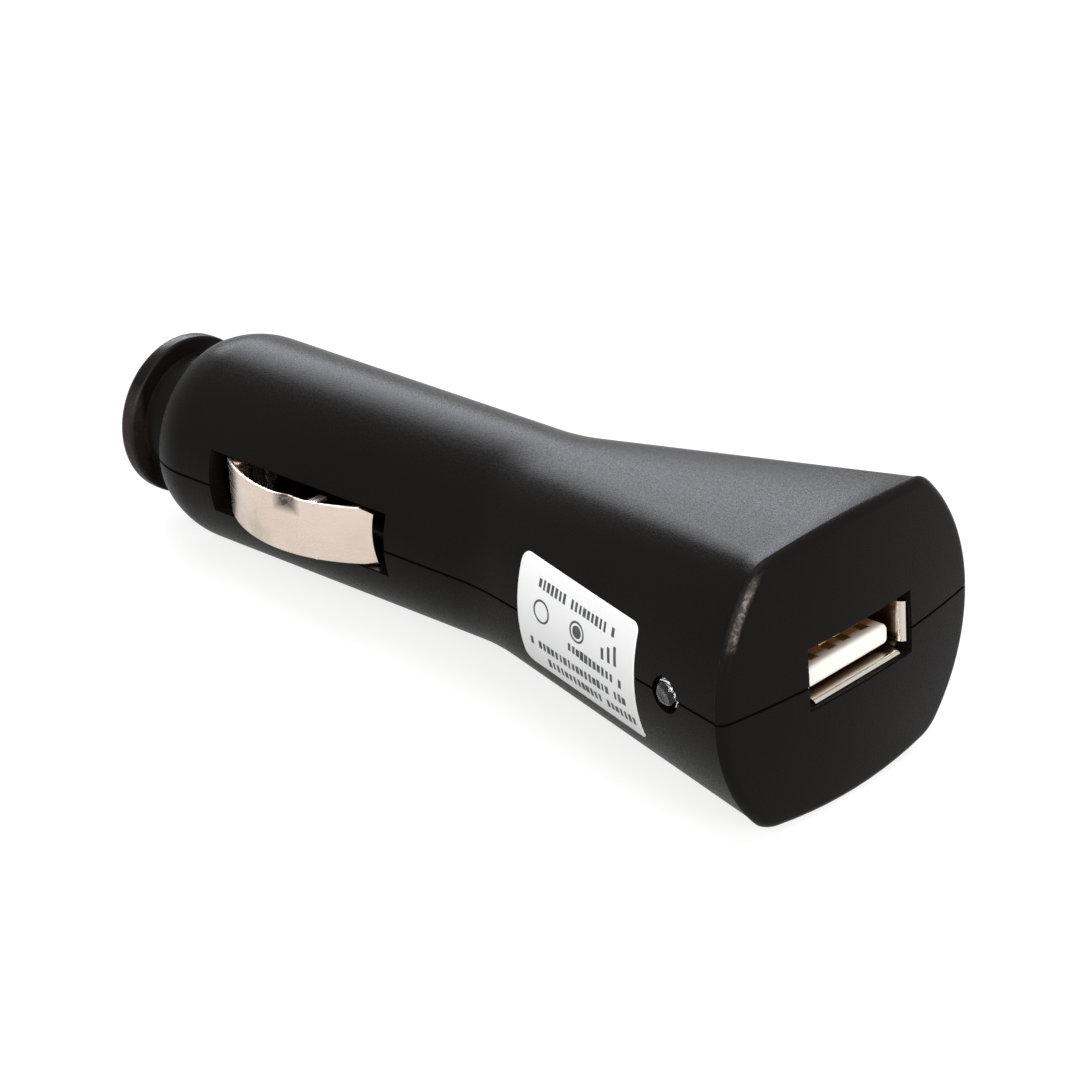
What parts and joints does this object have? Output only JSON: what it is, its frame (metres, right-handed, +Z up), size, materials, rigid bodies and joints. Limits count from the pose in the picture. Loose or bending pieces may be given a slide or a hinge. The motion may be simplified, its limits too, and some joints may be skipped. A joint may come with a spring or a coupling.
{
  "type": "car usb charger plug",
  "caption": "Car power socket plug with a round barrel, sprung nose pin and side contacts, and a flared head with a charging port in its domed end.",
  "frame": {"origin": "on the plug's axis, in the plane where the barrel meets the flare", "axes": "+X along the axis from the nose pin to the port face, +Z up and square to the plane in which the housing halves meet, -Y towards the side with the label and the light"},
  "size_m": [0.0946, 0.0342, 0.0276],
  "materials": {
    "housing_black": "fine moulded grain",
    "cap_black": "smooth moulded plastic",
    "contact_nickel": "nickel plate, rolled",
    "port_steel": "tin plate",
    "port_white": "moulded nylon",
    "contact_gold": "gold plate",
    "brass": "plain brass",
    "solder_tin": "tinned",
    "label_paper": "coated paper",
    "light_clear": "clear resin",
    "fuse_glass": "clear glass",
    "board_green": "lacquered board",
    "chip_black": "moulded",
    "ferrite": "sintered",
    "copper": "enamelled copper",
    "can_sleeve": "shrunk sleeve",
    "wire_red": "wire insulation",
    "wire_black": "wire insulation"
  },
  "bodies": {
    "housing": {"upper_housing": "housing_black", "lower_housing": "housing_black", "label": "label_paper", "fuse_glass": "fuse_glass", "fuse_end_front": "solder_tin", "fuse_end_rear": "solder_tin", "fuse_wire": "solder_tin", "fuse_contact": "brass", "positive_wire": "wire_red", "ground_wire_near": "wire_black", "ground_wire_far": "wire_black", "circuit_board": "board_green", "usb_shell": "port_steel", "usb_tongue": "port_white", "usb_contact_1": "contact_gold", "usb_contact_2": "contact_gold", "usb_contact_3": "contact_gold", "usb_contact_4": "contact_gold", "led_lens": "light_clear", "led_leads": "solder_tin", "controller_chip": "chip_black", "chip_leads": "solder_tin", "inductor_core": "ferrite", "inductor_winding": "copper", "input_capacitor": "can_sleeve", "output_capacitor": "can_sleeve", "diode": "chip_black", "resistor_1": "chip_black", "resistor_2": "chip_black", "resistor_3": "chip_black"},
    "nose_cap": {"nose_cap": "cap_black", "pin_spring": "solder_tin"},
    "centre_pin": {"centre_pin": "contact_nickel"},
    "near_contact": {"side_contact_near": "contact_nickel"},
    "far_contact": {"side_contact_far": "contact_nickel"}
  },
  "joints": [
    {"name": "cap_off", "type": "slide", "parent": "housing", "child": "nose_cap", "axis": [-1, 0, 0], "range_m": [0, 0.006]},
    {"name": "pin_press", "type": "slide", "parent": "nose_cap", "child": "centre_pin", "axis": [1, 0, 0], "range_m": [0, 0.0025], "stiffness_N_per_m": 900, "springref_m": -0.002, "deforming": ["pin_spring"]},
    {"name": "near_contact_press", "type": "hinge", "parent": "housing", "child": "near_contact", "pos_m": [-0.033, -0.0065, 0], "axis": [0, 0, 1], "range_deg": [0, 12], "stiffness_Nm_per_rad": 0.3, "springref_deg": -2.86},
    {"name": "far_contact_press", "type": "hinge", "parent": "housing", "child": "far_contact", "pos_m": [-0.033, 0.0065, 0], "axis": [0, 0, -1], "range_deg": [0, 12], "stiffness_Nm_per_rad": 0.3, "springref_deg": -2.86}
  ]
}
